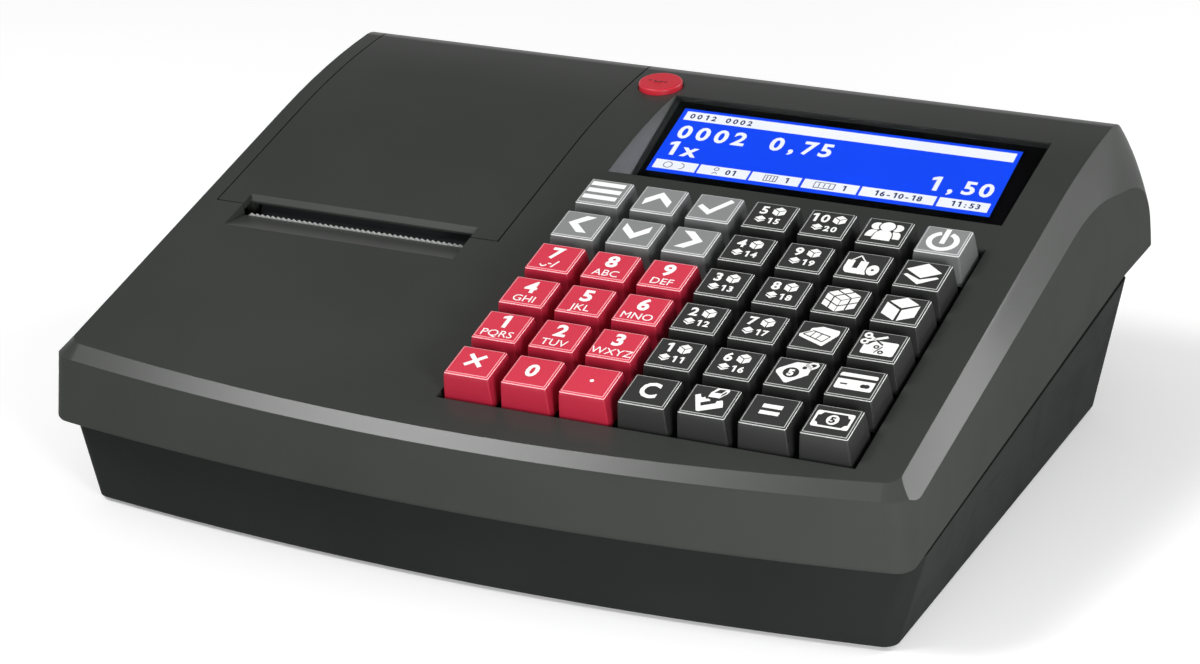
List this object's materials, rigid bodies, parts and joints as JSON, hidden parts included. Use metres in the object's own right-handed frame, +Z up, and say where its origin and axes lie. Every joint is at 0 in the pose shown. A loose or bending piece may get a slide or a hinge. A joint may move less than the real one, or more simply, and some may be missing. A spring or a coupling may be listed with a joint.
{
  "type": "ticket register",
  "caption": "Wedge-shaped counter register with a receipt printer under a hinged cover, a sunk display and a keyboard of square caps on a sloping deck.",
  "frame": {"origin": "on the ground under the middle of the case", "axes": "+X to the right along the keyboard, +Y from the keyboard towards the rear, +Z up"},
  "size_m": [0.2884, 0.2465, 0.1012],
  "materials": {
    "case_plastic": "fine moulded grain, dark grey",
    "base_plastic": "fine moulded grain, near black",
    "cover_plastic": "fine moulded grain, dark grey",
    "foot_rubber": "soft black rubber",
    "screw_steel": "zinc plated",
    "window_glass": "dark clear pane",
    "display_cell": "lit blue liquid-crystal cell in a black frame",
    "button_plastic": "satin red",
    "pin_steel": "ground steel",
    "platen_rubber": "ground black rubber on a steel shaft",
    "pinion_plastic": "natural acetal",
    "motor_steel": "plated steel can",
    "head_aluminium": "extruded heat sink with a ceramic strip",
    "bucket_plastic": "black moulding",
    "tear_steel": "stamped stainless strip",
    "board_laminate": "green solder mask",
    "socket_plastic": "black housings",
    "switch_plastic": "black housings",
    "red_key": "satin red with white legends",
    "grey_key": "satin mid grey with white legends",
    "dark_key": "satin near black with white legends"
  },
  "bodies": {
    "case": {"upper_case": "case_plastic", "lower_case": "base_plastic", "rubber_feet": "foot_rubber", "case_screws": "screw_steel", "display_window": "window_glass", "lcd_module": "display_cell", "cover_hinge_pin": "pin_steel", "feed_motor": "motor_steel", "print_head": "head_aluminium", "paper_bucket": "bucket_plastic", "tear_bar": "tear_steel", "circuit_boards": "board_laminate", "rear_sockets": "socket_plastic", "key_switches": "switch_plastic"},
    "cover": {"printer_cover": "cover_plastic"},
    "platen": {"platen_roller": "platen_rubber"},
    "drive": {"drive_pinion": "pinion_plastic"},
    "paper_feed": {"feed_button": "button_plastic"},
    "key_menu_body": {"key_menu": "grey_key"},
    "key_up_body": {"key_up": "grey_key"},
    "key_check_body": {"key_check": "grey_key"},
    "key_item_05_body": {"key_item_05": "dark_key"},
    "key_item_10_body": {"key_item_10": "dark_key"},
    "key_clerks_body": {"key_clerks": "dark_key"},
    "key_power_body": {"key_power": "grey_key"},
    "key_left_body": {"key_left": "grey_key"},
    "key_down_body": {"key_down": "grey_key"},
    "key_right_body": {"key_right": "grey_key"},
    "key_item_04_body": {"key_item_04": "dark_key"},
    "key_item_09_body": {"key_item_09": "dark_key"},
    "key_bag_body": {"key_bag": "dark_key"},
    "key_layers_body": {"key_layers": "dark_key"},
    "key_digit_7_body": {"key_digit_7": "red_key"},
    "key_digit_8_body": {"key_digit_8": "red_key"},
    "key_digit_9_body": {"key_digit_9": "red_key"},
    "key_item_03_body": {"key_item_03": "dark_key"},
    "key_item_08_body": {"key_item_08": "dark_key"},
    "key_cube_grid_body": {"key_cube_grid": "dark_key"},
    "key_cube_body": {"key_cube": "dark_key"},
    "key_digit_4_body": {"key_digit_4": "red_key"},
    "key_digit_5_body": {"key_digit_5": "red_key"},
    "key_digit_6_body": {"key_digit_6": "red_key"},
    "key_item_02_body": {"key_item_02": "dark_key"},
    "key_item_07_body": {"key_item_07": "dark_key"},
    "key_tray_body": {"key_tray": "dark_key"},
    "key_discount_body": {"key_discount": "dark_key"},
    "key_digit_1_body": {"key_digit_1": "red_key"},
    "key_digit_2_body": {"key_digit_2": "red_key"},
    "key_digit_3_body": {"key_digit_3": "red_key"},
    "key_item_01_body": {"key_item_01": "dark_key"},
    "key_item_06_body": {"key_item_06": "dark_key"},
    "key_tag_body": {"key_tag": "dark_key"},
    "key_card_body": {"key_card": "dark_key"},
    "key_multiply_body": {"key_multiply": "red_key"},
    "key_digit_0_body": {"key_digit_0": "red_key"},
    "key_point_body": {"key_point": "red_key"},
    "key_clear_body": {"key_clear": "dark_key"},
    "key_void_body": {"key_void": "dark_key"},
    "key_equals_body": {"key_equals": "dark_key"},
    "key_cash_body": {"key_cash": "dark_key"}
  },
  "joints": [
    {"name": "cover_hinge", "type": "hinge", "parent": "case", "child": "cover", "pos_m": [-0.0802, 0.10974, 0.07908], "axis": [-1, 0, 0], "range_deg": [0, 95]},
    {"name": "platen_spin", "type": "hinge", "parent": "cover", "child": "platen", "pos_m": [-0.0802, -0.01294, 0.06939], "axis": [1, 0, 0], "continuous": true},
    {"name": "drive_spin", "type": "hinge", "parent": "case", "child": "drive", "pos_m": [-0.0349, -0.01294, 0.06029], "axis": [1, 0, 0], "continuous": true},
    {"name": "feed_press", "type": "slide", "parent": "case", "child": "paper_feed", "axis": [0, 0.0984, -0.9951], "range_m": [0, 0.0015], "stiffness_N_per_m": 600, "springref_m": -0.0015},
    {"name": "press_menu", "type": "slide", "parent": "case", "child": "key_menu_body", "axis": [0, 0.2385, -0.9711], "range_m": [0, 0.0035], "stiffness_N_per_m": 150, "springref_m": -0.003},
    {"name": "press_up", "type": "slide", "parent": "case", "child": "key_up_body", "axis": [0, 0.2385, -0.9711], "range_m": [0, 0.0035], "stiffness_N_per_m": 150, "springref_m": -0.003},
    {"name": "press_check", "type": "slide", "parent": "case", "child": "key_check_body", "axis": [0, 0.2385, -0.9711], "range_m": [0, 0.0035], "stiffness_N_per_m": 150, "springref_m": -0.003},
    {"name": "press_item_05", "type": "slide", "parent": "case", "child": "key_item_05_body", "axis": [0, 0.2385, -0.9711], "range_m": [0, 0.0035], "stiffness_N_per_m": 150, "springref_m": -0.003},
    {"name": "press_item_10", "type": "slide", "parent": "case", "child": "key_item_10_body", "axis": [0, 0.2385, -0.9711], "range_m": [0, 0.0035], "stiffness_N_per_m": 150, "springref_m": -0.003},
    {"name": "press_clerks", "type": "slide", "parent": "case", "child": "key_clerks_body", "axis": [0, 0.2385, -0.9711], "range_m": [0, 0.0035], "stiffness_N_per_m": 150, "springref_m": -0.003},
    {"name": "press_power", "type": "slide", "parent": "case", "child": "key_power_body", "axis": [0, 0.2385, -0.9711], "range_m": [0, 0.0035], "stiffness_N_per_m": 150, "springref_m": -0.003},
    {"name": "press_left", "type": "slide", "parent": "case", "child": "key_left_body", "axis": [0, 0.2385, -0.9711], "range_m": [0, 0.0035], "stiffness_N_per_m": 150, "springref_m": -0.003},
    {"name": "press_down", "type": "slide", "parent": "case", "child": "key_down_body", "axis": [0, 0.2385, -0.9711], "range_m": [0, 0.0035], "stiffness_N_per_m": 150, "springref_m": -0.003},
    {"name": "press_right", "type": "slide", "parent": "case", "child": "key_right_body", "axis": [0, 0.2385, -0.9711], "range_m": [0, 0.0035], "stiffness_N_per_m": 150, "springref_m": -0.003},
    {"name": "press_item_04", "type": "slide", "parent": "case", "child": "key_item_04_body", "axis": [0, 0.2385, -0.9711], "range_m": [0, 0.0035], "stiffness_N_per_m": 150, "springref_m": -0.003},
    {"name": "press_item_09", "type": "slide", "parent": "case", "child": "key_item_09_body", "axis": [0, 0.2385, -0.9711], "range_m": [0, 0.0035], "stiffness_N_per_m": 150, "springref_m": -0.003},
    {"name": "press_bag", "type": "slide", "parent": "case", "child": "key_bag_body", "axis": [0, 0.2385, -0.9711], "range_m": [0, 0.0035], "stiffness_N_per_m": 150, "springref_m": -0.003},
    {"name": "press_layers", "type": "slide", "parent": "case", "child": "key_layers_body", "axis": [0, 0.2385, -0.9711], "range_m": [0, 0.0035], "stiffness_N_per_m": 150, "springref_m": -0.003},
    {"name": "press_digit_7", "type": "slide", "parent": "case", "child": "key_digit_7_body", "axis": [0, 0.2385, -0.9711], "range_m": [0, 0.0035], "stiffness_N_per_m": 150, "springref_m": -0.003},
    {"name": "press_digit_8", "type": "slide", "parent": "case", "child": "key_digit_8_body", "axis": [0, 0.2385, -0.9711], "range_m": [0, 0.0035], "stiffness_N_per_m": 150, "springref_m": -0.003},
    {"name": "press_digit_9", "type": "slide", "parent": "case", "child": "key_digit_9_body", "axis": [0, 0.2385, -0.9711], "range_m": [0, 0.0035], "stiffness_N_per_m": 150, "springref_m": -0.003},
    {"name": "press_item_03", "type": "slide", "parent": "case", "child": "key_item_03_body", "axis": [0, 0.2385, -0.9711], "range_m": [0, 0.0035], "stiffness_N_per_m": 150, "springref_m": -0.003},
    {"name": "press_item_08", "type": "slide", "parent": "case", "child": "key_item_08_body", "axis": [0, 0.2385, -0.9711], "range_m": [0, 0.0035], "stiffness_N_per_m": 150, "springref_m": -0.003},
    {"name": "press_cube_grid", "type": "slide", "parent": "case", "child": "key_cube_grid_body", "axis": [0, 0.2385, -0.9711], "range_m": [0, 0.0035], "stiffness_N_per_m": 150, "springref_m": -0.003},
    {"name": "press_cube", "type": "slide", "parent": "case", "child": "key_cube_body", "axis": [0, 0.2385, -0.9711], "range_m": [0, 0.0035], "stiffness_N_per_m": 150, "springref_m": -0.003},
    {"name": "press_digit_4", "type": "slide", "parent": "case", "child": "key_digit_4_body", "axis": [0, 0.2385, -0.9711], "range_m": [0, 0.0035], "stiffness_N_per_m": 150, "springref_m": -0.003},
    {"name": "press_digit_5", "type": "slide", "parent": "case", "child": "key_digit_5_body", "axis": [0, 0.2385, -0.9711], "range_m": [0, 0.0035], "stiffness_N_per_m": 150, "springref_m": -0.003},
    {"name": "press_digit_6", "type": "slide", "parent": "case", "child": "key_digit_6_body", "axis": [0, 0.2385, -0.9711], "range_m": [0, 0.0035], "stiffness_N_per_m": 150, "springref_m": -0.003},
    {"name": "press_item_02", "type": "slide", "parent": "case", "child": "key_item_02_body", "axis": [0, 0.2385, -0.9711], "range_m": [0, 0.0035], "stiffness_N_per_m": 150, "springref_m": -0.003},
    {"name": "press_item_07", "type": "slide", "parent": "case", "child": "key_item_07_body", "axis": [0, 0.2385, -0.9711], "range_m": [0, 0.0035], "stiffness_N_per_m": 150, "springref_m": -0.003},
    {"name": "press_tray", "type": "slide", "parent": "case", "child": "key_tray_body", "axis": [0, 0.2385, -0.9711], "range_m": [0, 0.0035], "stiffness_N_per_m": 150, "springref_m": -0.003},
    {"name": "press_discount", "type": "slide", "parent": "case", "child": "key_discount_body", "axis": [0, 0.2385, -0.9711], "range_m": [0, 0.0035], "stiffness_N_per_m": 150, "springref_m": -0.003},
    {"name": "press_digit_1", "type": "slide", "parent": "case", "child": "key_digit_1_body", "axis": [0, 0.2385, -0.9711], "range_m": [0, 0.0035], "stiffness_N_per_m": 150, "springref_m": -0.003},
    {"name": "press_digit_2", "type": "slide", "parent": "case", "child": "key_digit_2_body", "axis": [0, 0.2385, -0.9711], "range_m": [0, 0.0035], "stiffness_N_per_m": 150, "springref_m": -0.003},
    {"name": "press_digit_3", "type": "slide", "parent": "case", "child": "key_digit_3_body", "axis": [0, 0.2385, -0.9711], "range_m": [0, 0.0035], "stiffness_N_per_m": 150, "springref_m": -0.003},
    {"name": "press_item_01", "type": "slide", "parent": "case", "child": "key_item_01_body", "axis": [0, 0.2385, -0.9711], "range_m": [0, 0.0035], "stiffness_N_per_m": 150, "springref_m": -0.003},
    {"name": "press_item_06", "type": "slide", "parent": "case", "child": "key_item_06_body", "axis": [0, 0.2385, -0.9711], "range_m": [0, 0.0035], "stiffness_N_per_m": 150, "springref_m": -0.003},
    {"name": "press_tag", "type": "slide", "parent": "case", "child": "key_tag_body", "axis": [0, 0.2385, -0.9711], "range_m": [0, 0.0035], "stiffness_N_per_m": 150, "springref_m": -0.003},
    {"name": "press_card", "type": "slide", "parent": "case", "child": "key_card_body", "axis": [0, 0.2385, -0.9711], "range_m": [0, 0.0035], "stiffness_N_per_m": 150, "springref_m": -0.003},
    {"name": "press_multiply", "type": "slide", "parent": "case", "child": "key_multiply_body", "axis": [0, 0.2385, -0.9711], "range_m": [0, 0.0035], "stiffness_N_per_m": 150, "springref_m": -0.003},
    {"name": "press_digit_0", "type": "slide", "parent": "case", "child": "key_digit_0_body", "axis": [0, 0.2385, -0.9711], "range_m": [0, 0.0035], "stiffness_N_per_m": 150, "springref_m": -0.003},
    {"name": "press_point", "type": "slide", "parent": "case", "child": "key_point_body", "axis": [0, 0.2385, -0.9711], "range_m": [0, 0.0035], "stiffness_N_per_m": 150, "springref_m": -0.003},
    {"name": "press_clear", "type": "slide", "parent": "case", "child": "key_clear_body", "axis": [0, 0.2385, -0.9711], "range_m": [0, 0.0035], "stiffness_N_per_m": 150, "springref_m": -0.003},
    {"name": "press_void", "type": "slide", "parent": "case", "child": "key_void_body", "axis": [0, 0.2385, -0.9711], "range_m": [0, 0.0035], "stiffness_N_per_m": 150, "springref_m": -0.003},
    {"name": "press_equals", "type": "slide", "parent": "case", "child": "key_equals_body", "axis": [0, 0.2385, -0.9711], "range_m": [0, 0.0035], "stiffness_N_per_m": 150, "springref_m": -0.003},
    {"name": "press_cash", "type": "slide", "parent": "case", "child": "key_cash_body", "axis": [0, 0.2385, -0.9711], "range_m": [0, 0.0035], "stiffness_N_per_m": 150, "springref_m": -0.003}
  ],
  "couplings": [
    {"joint": "drive_spin", "follows": "platen_spin", "ratio": -2}
  ]
}
